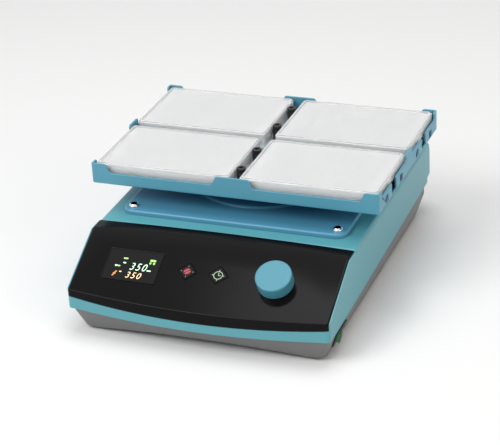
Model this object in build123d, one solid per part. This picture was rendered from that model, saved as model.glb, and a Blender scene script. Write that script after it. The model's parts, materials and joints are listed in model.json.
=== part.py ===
from build123d import *
import math
import os

# Orbital shaker for four microplates. Millimetres, +Z up, X to the right seen from the front,
# Y to the back. The origin is on the table, under the middle of the whole shaker.

# Housing
housing_width = 241.0
panel_depth = 82.0
deck_front_gap = 16.0
deck_depth = 202.0
deck_rear_gap = 28.0
front_bow = 6.0
front_corner_radius = 4.0
rear_corner_radius = 12.0
cover_height = 73.5
cover_wall = 2.5
cover_edge_radius = 4.5
rear_overhang = 19.0
rear_lean = 14.0
bulge_height = 41.0
overhang_base_height = 37.5
seam_front_height = 24.5
seam_rear_height = 33.0
seam_dip = 3.6
seam_dip_depth = 18.0
crossbar_depth = 5.0
crossbar_drop = 12.0

# Front panel
panel_slope = 27.5
panel_brow_depth = 16.7
panel_wall = 3.0
panel_crown = 1.9
panel_cheek = 1.1
panel_edge_bevel = 1.0
panel_fit = 0.15
cheek_drop = 1.0
lip_end_height = 36.0
lip_middle_height = 29.0

# What sits in the front panel, measured along X and down the slope from the brow
display_side_inset = 51.9
display_down = 34.5
display_width = 50.0
display_height = 32.0
display_glass = 1.5
module_border = 4.0
module_thickness = 5.5
start_key_x = -17.8
timer_key_x = 10.8
key_down = 32.8
key_side = 12.2
key_thickness = 2.2
key_gap = 0.3
key_travel = 0.5
tact_side = 6.0
tact_stem = 3.4
tact_stem_height = 1.5
tact_stop_gap = 0.3
knob_side_inset = 56.8
knob_down = 33.5
knob_diameter = 32.0
knob_height = 12.0
knob_gap = 0.5
knob_edge = 0.8
knob_cap = 3.0
knob_shaft_diameter = 6.0
encoder_side = 14.0
encoder_height = 6.5
encoder_floor = 1.0
shaft_end_gap = 0.1
board_side_gap = 12.5
board_post_inset = 5.0
board_width = 50.0
board_thickness = 1.6
board_depth = 10.0
board_post_diameter = 6.0

# Base
base_inset = 1.2
base_taper_side = 7.3
base_taper_front = 8.0
base_taper_rear = 4.0
base_foot_bow = 1.0
base_wall = 2.5
base_edge_height = 3.0
base_floor_bottom = 8.0
base_floor = 2.0
base_corner_radius = 9.0
skirt_arch = 4.8
skirt_arch_inset = 25.5
foot_side_inset = 47.5
foot_front_inset = 32.0
foot_rear_inset = 44.0
foot_diameter = 15.0
foot_draft = 0.8
vent_count = 7
vent_length = 46.0
vent_width = 3.0
vent_pitch = 8.0
boss_diameter = 10.0

# Deck plate on the top cover
deck_side_gap = 15.0
deck_height = 4.5
deck_skin = 2.0
deck_corner_radius = 10.0
deck_edge_radius = 2.0
deck_screw_inset = 9.0
deck_screw_head = 9.0
deck_screw_head_height = 2.8
deck_screw_dome = 1.4
deck_screw_shank = 4.0
deck_screw_length = 9.0
deck_screw_hole_gap = 0.2
cross_length = 5.4
cross_width = 1.2
cross_depth = 1.1
cover_opening_border = 20.0
collar_diameter = 142.0
collar_height = 2.0
collar_edge = 1.5
throat_diameter = 68.0
throat_wall = 2.5
throat_height = 4.0

# Orbit: how far the table is carried round the drive axis
orbit_radius = 1.5

# Tray
tray_height = 19.7
tray_bottom = 97.3
tray_wall = 1.8
tray_corner_radius = 1.6

# Microplates, all to the common 127.76 by 85.48 footprint
plate_length = 127.76
plate_depth = 85.48
plate_height = 14.4
plate_flange = 2.5
plate_step = 1.9
plate_wall = 1.3
plate_corner_radius = 3.2
plate_column_gap = 9.2
plate_row_gap = 8.6
plate_side_clearance = 0.84
plate_front_clearance = 3.02
plate_rear_clearance = 1.02
well_pitch = 9.0
well_side = 6.6
well_depth = 10.8
well_columns = 12
well_rows = 8

# Lids
lid_fit = 0.4
lid_wall = 1.2
lid_top = 1.3
lid_rest = 0.3
lid_skirt = 7.0
lid_rim = 1.2
lid_rim_width = 2.2

# Windows of the tray walls
front_window_length = 107.0
front_window_depth = 8.6
front_window_slant = 4.6
window_foot_radius = 3.0
window_shoulder_radius = 3.5
side_window_length = 76.0
side_window_depth = 7.0
side_notch_length = 13.0
side_notch_floor = 2.4
hook_slot_pitch = 41.0
hook_slot_width = 5.0
hook_slot_bottom = 2.2
hook_slot_height = 6.6

# Clamp springs
spring_strip = 0.5
spring_width = 5.0
spring_gap = 0.3
spring_tail = 3.2
spring_bend_radius = 1.2

# Posts between the plates
post_pair_pitch = 96.0
post_pitch = 41.0
post_diameter = 8.6
post_sleeve_height = 12.4
post_head_diameter = 8.5
post_head_height = 5.0
post_socket = 4.0
post_socket_depth = 2.5
post_thread = 5.0
post_grip = 5.0
screw_clearance = 0.15

# Table, hub and orbit frame
table_side_inset = 22.0
table_end_inset = 18.6
table_thickness = 6.0
table_radius = 18.0
hub_diameter = 52.0
hub_flange = 8.0
hub_flange_thickness = 3.0
hub_cap = 18.0
frame_inset = 12.0
frame_thickness = 6.0
frame_bottom = 57.5
frame_radius = 22.0
frame_hole_diameter = 26.0
frame_hole_inset = 24.0
guard_diameter = 90.0
guard_top_gap = 1.6
guard_skin = 1.5
guard_skirt = 4.5
guard_edge = 0.9

# Drive
chassis_side_gap = 20.5
chassis_end_gap = 21.0
chassis_thickness = 3.0
chassis_bottom = 28.0
chassis_post_inset = 12.0
shaft_diameter = 16.0
shaft_clearance = 0.05
bearing_diameter = 44.0
bearing_height = 15.5
pulley_diameter = 64.0
pulley_width = 9.0
pulley_bottom = 15.5
pulley_flange = 1.2
web_diameter = 30.0
web_thickness = 5.5
pin_diameter = 14.0
pin_top_gap = 1.0
counterweight_gap = 11.0
counterweight_angle = 150.0
motor_inset = 22.0
motor_diameter = 50.0
motor_height = 22.0
motor_edge = 2.0
motor_cap = 4.0
motor_wall = 5.0
rotor_gap = 0.5
motor_shaft_diameter = 6.0
motor_pulley_diameter = 22.0
belt_thickness = 1.4
belt_width = 6.0
belt_gap = 0.3
idler_edge = 18.0
idler_count = 3
idler_shaft_diameter = 8.0
idler_boss_diameter = 18.0
idler_boss_height = 13.0
idler_web_diameter = 26.0
idler_web_thickness = 6.0
idler_pin_diameter = 8.0
idler_pin_clearance = 0.1
idler_socket_depth = 4.5
web_gap = 0.5

# Power inlet at the back and switch at the right
inlet_side_inset = 50.5
inlet_width = 27.2
inlet_height = 19.6
inlet_corner = 4.0
inlet_flange_width = 48.0
inlet_flange_height = 22.0
inlet_flange = 2.0
inlet_body_depth = 24.0
inlet_cavity_depth = 17.0
inlet_wall = 2.2
inlet_centre_height = 20.0
inlet_screw_pitch = 40.0
inlet_pad_depth = 3.5
switch_front_inset = 43.0
switch_length = 28.0
switch_width = 13.0
switch_flange = 1.4
switch_body_length = 23.0
switch_body_width = 9.6
switch_body_depth = 15.0
rocker_length = 19.0
rocker_width = 7.4
rocker_gap = 0.3
rocker_end_gap = 0.5
rocker_rise = 0.8
rocker_vee = 7.0
rocker_tilt = 10.0
rocker_shoulder = 1.5
rocker_keel = 4.0
rocker_pin_diameter = 2.0
rocker_pin_inset = 0.1

# Power supply on the base floor
supply_side_inset = 58.5
supply_front_inset = 86.0
supply_length = 84.0
supply_width = 48.0
supply_height = 24.0

# Derived places
half_width = housing_width / 2
housing_depth = panel_depth + deck_front_gap + deck_depth + deck_rear_gap
front_middle_y = -housing_depth / 2
front_end_y = front_middle_y + front_bow
rear_y = housing_depth / 2
rear_wall_y = rear_y - rear_overhang
seam_slope = (seam_rear_height - seam_front_height) / (rear_wall_y - front_end_y)
slope_rise = math.tan(math.radians(panel_slope))
panel_rear_y = front_middle_y + panel_depth
panel_brow_end_y = panel_rear_y - panel_brow_depth
display_x = display_side_inset - half_width
knob_x = half_width - knob_side_inset
board_length = housing_width - 2 * board_side_gap
skirt_arch_length = housing_width - 2 * skirt_arch_inset
inlet_x = inlet_side_inset - half_width
switch_y = front_middle_y + switch_front_inset
supply_x = half_width - supply_side_inset
supply_y = front_middle_y + supply_front_inset
deck_width = housing_width - 2 * deck_side_gap
deck_front_y = panel_rear_y + deck_front_gap
deck_rear_y = deck_front_y + deck_depth
deck_middle_y = (deck_front_y + deck_rear_y) / 2
deck_top = cover_height + deck_height
tray_y = deck_middle_y
axis_y = tray_y - orbit_radius
plates_across = plate_column_gap + 2 * plate_length
plates_along = plate_row_gap + 2 * plate_depth
tray_width = plates_across + 2 * (plate_side_clearance + tray_wall)
tray_depth = plates_along + plate_front_clearance + plate_rear_clearance + 2 * tray_wall
plates_rearward = (plate_front_clearance - plate_rear_clearance) / 2
tray_floor = tray_bottom + tray_wall
tray_top = tray_bottom + tray_height
table_bottom = tray_bottom - table_thickness
inlet_face_y = rear_wall_y - base_inset - base_taper_rear + 0.2
frame_top = frame_bottom + frame_thickness
base_floor_top = base_floor_bottom + base_floor
plate_x = (plate_column_gap + plate_length) / 2
plate_y = (plate_row_gap + plate_depth) / 2
plate_centres = [
    (side * plate_x, tray_y + plates_rearward + row * plate_y)
    for row in (-1, 1)
    for side in (-1, 1)
]
post_places = [
    (0, tray_y + pair * post_pair_pitch / 2 + place * post_pitch / 2)
    for pair in (-1, 1)
    for place in (-1, 1)
]
spring_centres = [
    (side, tray_y + row * post_pair_pitch / 2) for row in (-1, 1) for side in (-1, 1)
]
chassis_length = housing_width - 2 * chassis_side_gap
chassis_width = deck_depth - 2 * chassis_end_gap
idler_radius = chassis_width / 2 - idler_edge
counterweight_radius = idler_radius - idler_web_diameter / 2 - counterweight_gap
motor_x = motor_inset - chassis_length / 2
frame_length = chassis_length - 2 * frame_inset
frame_width = chassis_width - 2 * frame_inset
table_length = tray_width - 2 * table_side_inset
table_width = tray_depth - 2 * table_end_inset
pulley_top = pulley_bottom + pulley_width
chassis_top = chassis_bottom + chassis_thickness
web_bottom = chassis_top + bearing_height + web_gap
pin_top = table_bottom - hub_cap
far = 400.0

# Panel frame: X across, Y up the slope, Z out of the panel
panel_origin = (0, panel_brow_end_y, cover_height)
panel_plane = Plane(
    origin=panel_origin,
    x_dir=(1, 0, 0),
    z_dir=(0, -math.sin(math.radians(panel_slope)), math.cos(math.radians(panel_slope))),
)


def box(x_range, y_range, z_range):
    size = [span[1] - span[0] for span in (x_range, y_range, z_range)]
    middle = [(span[1] + span[0]) / 2 for span in (x_range, y_range, z_range)]
    return Pos(*middle) * Box(*size)


def rod(diameter, z_range, x=0.0, y=0.0):
    height = z_range[1] - z_range[0]
    return Pos(x, y, (z_range[0] + z_range[1]) / 2) * Cylinder(diameter / 2, height)


def rounded_block(length, width, radius, z_range, x=0.0, y=0.0):
    face = Pos(x, y, z_range[0]) * RectangleRounded(length, width, radius)
    return extrude(face, z_range[1] - z_range[0])


def plan_outline(inset, bow, taper_side=0.0, taper_front=0.0, taper_rear=0.0, back_y=None,
                 front_radius=None, rear_radius=None):
    """Housing seen from above: straight sides, bowed front, round corners."""
    wide = half_width - inset - taper_side
    front = front_end_y + inset + taper_front
    back = (rear_y if back_y is None else back_y) - inset - taper_rear
    front_radius = front_corner_radius if front_radius is None else front_radius
    rear_radius = rear_corner_radius if rear_radius is None else rear_radius
    arc = ThreePointArc((-wide, front), (0, front - bow), (wide, front))
    edges = [
        arc,
        Line((wide, front), (wide, back)),
        Line((wide, back), (-wide, back)),
        Line((-wide, back), (-wide, front)),
    ]
    face = make_face(edges)
    corners = face.vertices().sort_by(Axis.Y)
    face = fillet(corners[:2], max(front_radius - inset, 1.0))
    corners = face.vertices().sort_by(Axis.Y)[-2:]
    return fillet(corners, max(rear_radius - inset, 1.0))


def side_extrusion(points):
    """A profile in Y and Z, taken right across the housing."""
    face = make_face(Polyline(*[(0, y, z) for y, z in points], close=True))
    return extrude(face, half_width + 40, dir=(1, 0, 0), both=True)


def slope_height(y, drop=0.0):
    normal_drop = drop / math.cos(math.radians(panel_slope))
    return cover_height - normal_drop + (y - panel_brow_end_y) * slope_rise


def cover_profile(inset):
    """Side profile: flat top, sloping front, leaning back with a bulge over the inlet."""
    front = front_middle_y - 20
    slant = math.atan2(rear_lean, cover_height - bulge_height)
    top = cover_height - inset
    top_end = panel_brow_end_y - inset * math.tan(math.radians(panel_slope / 2))
    shift = inset / math.cos(slant)
    back_top = rear_y - rear_lean - shift + inset * math.tan(slant)
    return [
        (front, -20),
        (front, slope_height(front, inset)),
        (top_end, top),
        (back_top, top),
        (rear_y - shift, bulge_height),
        (rear_wall_y - inset, overhang_base_height + inset),
        (rear_wall_y - inset, -20),
    ]


def below_seam():
    """Everything under the line where the cover meets the base, which dips along the front."""
    front = front_middle_y - 40
    back = rear_y + 40
    front_z = seam_front_height + (front - front_end_y) * seam_slope
    back_z = seam_front_height + (back - front_end_y) * seam_slope
    under = side_extrusion([(front, -40), (front, front_z), (back, back_z), (back, -40)])
    chord = half_width - base_corner_radius
    radius = (chord**2 + seam_dip**2) / (2 * seam_dip)
    drum = Pos(0, front_middle_y, seam_front_height - seam_dip + radius) * Rot(90, 0, 0)
    return under - drum * Cylinder(radius, 2 * seam_dip_depth)


def cover_envelope(inset):
    outline = plan_outline(inset, front_bow)
    block = extrude(outline, cover_height)
    return block & side_extrusion(cover_profile(inset))


def above_lip(drop):
    """The space over the curved line between the black panel and the strip under it."""
    sagitta = lip_end_height - lip_middle_height
    chord = half_width - panel_cheek
    radius = (chord**2 + sagitta**2) / (2 * sagitta)
    drum = Pos(0, front_middle_y, lip_middle_height + radius - drop) * Rot(90, 0, 0)
    return drum * Cylinder(radius, far)


def crown_drum():
    chord = half_width
    radius = (chord**2 + panel_crown**2) / (2 * panel_crown)
    drum = Pos(0, 0, cover_height + panel_crown - radius) * Rot(90, 0, 0)
    return drum * Cylinder(radius, 3 * far)


def panel_skin(grow):
    """The panel's skin, following the brow, the slope and the lip."""
    half = half_width - panel_cheek + grow
    front = front_middle_y - 20
    back = panel_rear_y + grow
    high = cover_height + panel_crown + 4
    outer_profile = [
        (front, -20),
        (front, slope_height(front)),
        (panel_brow_end_y + (high - cover_height) / slope_rise, high),
        (back, high),
        (back, -20),
    ]
    depth = panel_wall + grow
    brow_end = panel_brow_end_y - depth * math.tan(math.radians(panel_slope / 2))
    inner_profile = [
        (front - 5, -25),
        (front - 5, slope_height(front - 5, depth)),
        (brow_end, cover_height - depth),
        (back + 20, cover_height - depth),
        (back + 20, -25),
    ]
    outline = plan_outline(0, front_bow)
    inner_outline = plan_outline(depth, front_bow)
    under = side_extrusion(inner_profile)
    outer = extrude(outline, high) & side_extrusion(outer_profile) & crown_drum()
    inner = extrude(inner_outline, high) & under
    skin = (outer - inner) & above_lip(grow) & box((-half, half), (-far, back), (0, far))
    sides = box((-half, half), (front_end_y + panel_wall + 2, back), (0, far)) & under
    return skin - sides


def on_panel(x, down, height=0.0):
    return panel_plane.location * Pos(x, -down, height)


def front_panel():
    panel = panel_skin(0)
    ridge = [
        edge
        for edge in panel.edges()
        if abs(abs(edge.center().X) - (half_width - panel_cheek)) < 0.01
        and edge.center().Y < panel_brow_end_y - 20
        and edge.length > 20
        and abs(panel_plane.to_local_coords(edge.center()).Z) < 0.2
    ]
    if ridge:
        panel = chamfer(ridge, panel_edge_bevel)
    window = on_panel(display_x, display_down, -display_glass / 2)
    panel -= window * Box(display_width, display_height, display_glass)
    through = on_panel(display_x, display_down, -panel_wall / 2)
    panel -= through * Box(display_width - 2, display_height - 2, panel_wall + 2)
    for key_x in (start_key_x, timer_key_x):
        opening = on_panel(key_x, key_down) * Rot(0, 0, 45)
        panel -= opening * Box(key_side + 2 * key_gap, key_side + 2 * key_gap, 4 * panel_wall)
    shaft_hole = on_panel(knob_x, knob_down)
    panel -= shaft_hole * Cylinder(knob_shaft_diameter / 2 + 0.6, 4 * panel_wall)
    for post in board_posts():
        panel += post
    return panel


def board_post_places():
    reach = board_length / 2 - board_post_inset
    side = board_width / 2 - board_post_inset
    return [(x * reach, board_middle_down() + y * side) for x in (-1, 1) for y in (-1, 1)]


def board_middle_down():
    return (display_down + knob_down) / 2


def board_posts():
    root = panel_wall / 2
    length = board_depth - root
    middle = -root - length / 2
    return [
        on_panel(x, down, middle) * Cylinder(board_post_diameter / 2, length)
        for x, down in board_post_places()
    ]


def control_board():
    middle = -board_depth - board_thickness / 2
    board = on_panel(0, board_middle_down(), middle) * Box(
        board_length, board_width, board_thickness
    )
    return board


def display_window():
    return on_panel(display_x, display_down, -display_glass / 2) * Box(
        display_width - 2 * panel_fit, display_height - 2 * panel_fit, display_glass
    )


def display_module():
    border = 2 * module_border
    back = -panel_wall - module_thickness
    body = on_panel(display_x, display_down, (back - panel_wall) / 2) * Box(
        display_width + border, display_height + border, module_thickness
    )
    step = panel_wall - display_glass
    face = on_panel(display_x, display_down, -panel_wall + step / 2) * Box(
        display_width - 2 - 2 * panel_fit, display_height - 2 - 2 * panel_fit, step
    )
    pins_height = board_depth + back
    pins = on_panel(display_x, display_down, back - pins_height / 2) * Box(
        display_width / 2, 3, pins_height
    )
    return body + face + pins


def key_cap(key_x):
    place = on_panel(key_x, key_down, -key_thickness / 2) * Rot(0, 0, 45)
    return place * Box(key_side, key_side, key_thickness)


def key_switches():
    top = -key_thickness - key_travel - tact_stop_gap
    block_height = board_depth + top - tact_stem_height
    switches = []
    for key_x in (start_key_x, timer_key_x):
        block = on_panel(key_x, key_down, -board_depth + block_height / 2)
        stem = on_panel(key_x, key_down, top - tact_stem_height / 2)
        switches.append(
            block * Box(tact_side, tact_side, block_height)
            + stem * Cylinder(tact_stem / 2, tact_stem_height)
        )
    return Compound(children=switches)


def encoder_body():
    height = encoder_height
    body = on_panel(knob_x, knob_down, -board_depth + height / 2)
    body = body * Box(encoder_side, encoder_side, height)
    bore = on_panel(knob_x, knob_down, -board_depth + height / 2 + encoder_floor)
    return body - bore * Cylinder(knob_shaft_diameter / 2 + shaft_clearance, height)


def knob_shaft():
    low = -board_depth + encoder_floor + shaft_end_gap
    high = knob_gap + knob_height - knob_cap
    shaft = on_panel(knob_x, knob_down, (low + high) / 2)
    return shaft * Cylinder(knob_shaft_diameter / 2, high - low)


def control_knob():
    body = Pos(0, 0, knob_gap + knob_height / 2) * Cylinder(knob_diameter / 2, knob_height)
    body = chamfer(body.edges().filter_by(GeomType.CIRCLE).sort_by(Axis.Z)[-1], knob_edge)
    bore_top = knob_gap + knob_height - knob_cap
    body -= Pos(0, 0, bore_top / 2) * Cylinder(knob_shaft_diameter / 2, bore_top)
    return on_panel(knob_x, knob_down) * body


def top_cover():
    """Painted upper shell with its cheeks, front strip and the bulge at the back."""
    whole = cover_envelope(0) - below_seam()
    front = whole & box((-far, far), (-far, panel_rear_y), (-far, far))
    rear = whole & box((-far, far), (panel_rear_y, far), (-far, far))
    top_edges = [
        edge
        for edge in rear.edges()
        if edge.center().Z > cover_height - 0.5 and edge.bounding_box().min.Z > cover_height - 0.5
    ]
    rear = fillet(top_edges, cover_edge_radius)
    shell = front + rear
    shell -= cover_envelope(cover_wall)
    bar_back = panel_rear_y + crossbar_depth
    bar = box(
        (-half_width + cover_wall, half_width - cover_wall),
        (panel_rear_y, bar_back),
        (cover_height - crossbar_drop, cover_height - cover_edge_radius),
    )
    tongue = box(
        (-half_width + cover_wall, half_width - cover_wall),
        (panel_rear_y + cover_edge_radius, bar_back),
        (cover_height - crossbar_drop, cover_height - cover_wall),
    )
    shell = shell + bar + tongue
    shell -= panel_skin(panel_fit)
    cheek_cut = side_extrusion([
        (front_middle_y - 20, slope_height(front_middle_y - 20, cheek_drop)),
        (panel_brow_end_y, cover_height - cheek_drop),
        (panel_rear_y, cover_height - cheek_drop),
        (panel_rear_y, far),
        (front_middle_y - 20, far),
    ])
    shell -= cheek_cut
    opening = rounded_block(
        deck_width - 2 * cover_opening_border,
        deck_depth - 2 * cover_opening_border,
        deck_corner_radius,
        (cover_height - cover_wall - 1, cover_height + 1),
        y=deck_middle_y,
    )
    shell -= opening
    for x, y in deck_screw_places():
        shell -= rod(
            deck_screw_shank + 2 * deck_screw_hole_gap,
            (cover_height - deck_screw_length - 1, cover_height + 1), x, y,
        )
    return shell


def base_solid(inset):
    """Grey tub: straight foot, tapering out and up to the bowed outline at the seam."""
    low = plan_outline(
        base_inset + inset, base_foot_bow, base_taper_side, base_taper_front, base_taper_rear,
        back_y=rear_wall_y, front_radius=base_corner_radius, rear_radius=base_corner_radius,
    )
    middle = plan_outline(
        base_inset + inset, front_bow, back_y=rear_wall_y, front_radius=base_corner_radius,
        rear_radius=base_corner_radius,
    )
    lower = loft([Pos(0, 0, base_edge_height) * low, Pos(0, 0, seam_front_height) * middle])
    upper = extrude(Pos(0, 0, seam_front_height) * middle, 30)
    return (lower + upper) & below_seam()


def switch_frame(height=0.0):
    """Frame on the leaning side wall: X along the wall to the back, Z outwards."""
    rise = seam_front_height - base_edge_height
    lean = math.atan2(base_taper_side, rise)
    middle_z = base_edge_height + rise / 2
    middle_x = half_width - base_inset - base_taper_side / 2
    normal = (math.cos(lean), 0, -math.sin(lean))
    plane = Plane(origin=(middle_x, switch_y, middle_z), x_dir=(0, 1, 0), z_dir=normal)
    return plane.location * Pos(0, 0, height)


def foot_places():
    front = front_middle_y + foot_front_inset
    back = rear_y - foot_rear_inset
    return [(x * (half_width - foot_side_inset), y) for x in (-1, 1) for y in (front, back)]


def chassis_post_places():
    across = chassis_length / 2 - chassis_post_inset
    along = chassis_width / 2 - chassis_post_inset
    return [(x * across, axis_y + y * along) for x in (-1, 1) for y in (-1, 1)]


def base_shell():
    outer = base_solid(0)
    inner = base_solid(base_wall) & box((-far, far), (-far, far), (base_floor_top, far))
    under = base_solid(base_wall) & box((-far, far), (-far, far), (-far, base_floor_bottom))
    shell = outer - inner - under
    arch_radius = ((skirt_arch_length / 2) ** 2 + skirt_arch**2) / (2 * skirt_arch)
    arch = Pos(0, front_end_y, base_edge_height + skirt_arch - arch_radius) * Rot(90, 0, 0)
    shell -= (arch * Cylinder(arch_radius, 90)) & box(
        (-skirt_arch_length / 2, skirt_arch_length / 2),
        (front_middle_y, front_end_y + 30),
        (0, base_floor_bottom),
    )
    for x, y in chassis_post_places():
        post = rod(boss_diameter, (base_floor_top, chassis_bottom), x, y)
        shell += post
    for index in range(vent_count):
        x = (index - (vent_count - 1) / 2) * vent_pitch
        slot = rounded_block(
            vent_width, vent_length, vent_width / 2 - 0.01,
            (base_floor_bottom - 1, base_floor_top + 1), x, supply_y - 20,
        )
        shell -= slot
    shell += inlet_pad() & base_solid(0)
    shell -= switch_frame() * Box(
        switch_body_length + 0.4, switch_body_width + 0.4, 6 * base_wall
    )
    shell -= Pos(inlet_x, rear_wall_y - 8, inlet_centre_height) * Box(
        inlet_width + 0.6, 30, inlet_height + 0.6
    )
    shell -= inlet_recess()
    return shell


def inlet_pad():
    """Thickening inside the rear wall, behind the inlet's flange."""
    return Pos(inlet_x, inlet_face_y, inlet_centre_height) * Box(
        inlet_flange_width + 4.0, 2 * inlet_pad_depth, inlet_flange_height + 4.0
    )


def inlet_recess():
    """Upright flat on the leaning rear wall, where the inlet's flange lies."""
    return Pos(inlet_x, inlet_face_y + 10, inlet_centre_height) * Box(
        inlet_flange_width + 1.0, 20, inlet_flange_height + 1.0
    )


def rubber_feet():
    feet = []
    for x, y in foot_places():
        cone = Pos(x, y, base_floor_bottom / 2) * Cone(
            foot_diameter / 2 - foot_draft, foot_diameter / 2, base_floor_bottom
        )
        feet.append(cone)
    return Compound(children=feet)


def deck_screw_places():
    reach = deck_width / 2 - deck_screw_inset
    return [
        (x * reach, y)
        for x in (-1, 1)
        for y in (deck_front_y + deck_screw_inset, deck_rear_y - deck_screw_inset)
    ]


def deck_plate():
    """Raised plate with rounded edges and a round collar about the table's hub."""
    plate = rounded_block(
        deck_width, deck_depth, deck_corner_radius, (cover_height, deck_top), y=deck_middle_y
    )
    plate = fillet(plate.edges().group_by(Axis.Z)[-1], deck_edge_radius)
    plate -= rounded_block(
        deck_width - 2 * deck_skin, deck_depth - 2 * deck_skin, deck_corner_radius - deck_skin,
        (cover_height, deck_top - deck_skin), y=deck_middle_y,
    )
    collar = rod(collar_diameter, (deck_top - deck_skin, deck_top + collar_height), 0, axis_y)
    plate += chamfer(collar.edges().group_by(Axis.Z)[-1], collar_edge)
    plate -= rod(
        collar_diameter - 4 * deck_skin, (cover_height, deck_top + collar_height - deck_skin),
        0, axis_y,
    )
    throat_top = deck_top + collar_height + throat_height
    plate += rod(
        throat_diameter + 2 * throat_wall, (deck_top, throat_top), 0, axis_y
    )
    plate -= rod(throat_diameter, (cover_height - 5, throat_top + 5), 0, axis_y)
    for x, y in deck_screw_places():
        plate += rod(boss_diameter, (cover_height, deck_top - deck_skin), x, y)
        plate -= rod(
            deck_screw_shank + 2 * deck_screw_hole_gap, (cover_height - 1, deck_top + 1), x, y
        )
    return plate


def deck_screws():
    screws = []
    for x, y in deck_screw_places():
        head = rod(deck_screw_head, (deck_top, deck_top + deck_screw_head_height), x, y)
        head = chamfer(head.edges().group_by(Axis.Z)[-1], deck_screw_dome)
        top = deck_top + deck_screw_head_height
        head -= Pos(x, y, top) * Box(cross_length, cross_width, 2 * cross_depth)
        head -= Pos(x, y, top) * Box(cross_width, cross_length, 2 * cross_depth)
        shank = rod(deck_screw_shank, (cover_height - deck_screw_length, deck_top), x, y)
        screws.append(head + shank)
    return Compound(children=screws)


def tray_window(length, depth, slant):
    """Upright face of one wall window: slanted ends, a rounded foot and rounded shoulders."""
    wide = length / 2 + 2 * window_shoulder_radius
    points = [
        (-wide, depth + 4),
        (-wide, depth),
        (-length / 2, depth),
        (-length / 2 + slant, 0),
        (length / 2 - slant, 0),
        (length / 2, depth),
        (wide, depth),
        (wide, depth + 4),
    ]
    face = make_face(Polyline(*points, close=True))
    corners = face.vertices().group_by(Axis.Y)
    face = fillet(corners[0], min(window_foot_radius, depth / 3))
    shoulders = [
        corner for corner in face.vertices()
        if abs(corner.Y - depth) < 0.001 and abs(corner.X) < wide - 0.001
    ]
    return fillet(shoulders, min(window_shoulder_radius, depth / 3))


def tray():
    """Folded sheet tray with a trapezoid window per plate and slots for the clamp springs."""
    body = rounded_block(
        tray_width, tray_depth, tray_corner_radius, (tray_bottom, tray_top), y=tray_y
    )
    foot = body.edges().group_by(Axis.Z)[0]
    body = fillet(foot, tray_corner_radius)
    body -= rounded_block(
        tray_width - 2 * tray_wall, tray_depth - 2 * tray_wall, 0.6,
        (tray_floor, tray_top + 5), y=tray_y,
    )
    window = Plane.XZ * tray_window(front_window_length, front_window_depth, front_window_slant)
    for side in (-1, 1):
        for end in (-1, 1):
            cutter = extrude(window, 2 * tray_wall, both=True)
            wall_y = tray_y + end * (tray_depth - tray_wall) / 2
            body -= Pos(side * plate_x, wall_y, tray_top - front_window_depth) * cutter
    side_face = Plane.YZ * tray_window(side_window_length, side_window_depth, 0.0)
    for x, y in plate_centres:
        wall_x = math.copysign((tray_width - tray_wall) / 2, x)
        cutter = extrude(side_face, 2 * tray_wall, both=True)
        body -= Pos(wall_x, y, tray_top - side_window_depth) * cutter
    for side, y in spring_centres:
        wall_x = side * (tray_width - tray_wall) / 2
        body -= box(
            (wall_x - 2 * tray_wall, wall_x + 2 * tray_wall),
            (y - side_notch_length / 2, y + side_notch_length / 2),
            (tray_floor + side_notch_floor - tray_wall, tray_top + 1),
        )
        for end in (-1, 1):
            slot_y = y + end * hook_slot_pitch / 2
            body -= box(
                (wall_x - 2 * tray_wall, wall_x + 2 * tray_wall),
                (slot_y - hook_slot_width / 2, slot_y + hook_slot_width / 2),
                (tray_bottom + hook_slot_bottom, tray_bottom + hook_slot_bottom + hook_slot_height),
            )
    for x, y in post_places:
        body -= rod(post_thread + 2 * screw_clearance, (tray_bottom - 1, tray_floor + 1), x, y)
    return body


def post_sleeves():
    sleeves = []
    for x, y in post_places:
        sleeve = rod(post_diameter, (tray_floor, tray_floor + post_sleeve_height), x, y)
        bore = rod(
            post_thread + 2 * screw_clearance,
            (tray_floor - 1, tray_floor + post_sleeve_height + 1), x, y,
        )
        sleeves.append(sleeve - bore)
    return Compound(children=sleeves)


def post_screws():
    screws = []
    seat = tray_floor + post_sleeve_height
    for x, y in post_places:
        head = rod(post_head_diameter, (seat, seat + post_head_height), x, y)
        head = chamfer(head.edges().group_by(Axis.Z)[-1], 0.5)
        socket = Pos(x, y, seat + post_head_height - post_socket_depth)
        head -= extrude(socket * RegularPolygon(post_socket / 2, 6, major_radius=False), 5)
        screws.append(head + rod(post_thread, (tray_bottom - post_grip, seat), x, y))
    return Compound(children=screws)


def clamp_spring(side, y):
    """Leaf spring threaded through two wall slots, bowed in against the plate's flange."""
    inner_x = plate_x + plate_length / 2 + spring_gap + spring_strip / 2
    outer_x = tray_width / 2 + spring_strip / 2
    near = hook_slot_pitch / 2 - hook_slot_width / 2 + 0.4
    past = hook_slot_pitch / 2 + hook_slot_width / 2 - 0.4
    tail = past + spring_tail
    shoulder = tray_width / 2 - tray_wall - spring_strip / 2 - 0.12
    points = [
        (outer_x, -tail), (outer_x, -past), (shoulder, -near), (inner_x, 0),
        (shoulder, near), (outer_x, past), (outer_x, tail),
    ]
    path = FilletPolyline(*points, radius=spring_bend_radius)
    strip = trace(path, spring_strip)
    low = tray_bottom + hook_slot_bottom + (hook_slot_height - spring_width) / 2
    solid = extrude(Pos(0, y, low) * strip, spring_width)
    return solid if side > 0 else mirror(solid, Plane.YZ)


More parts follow.
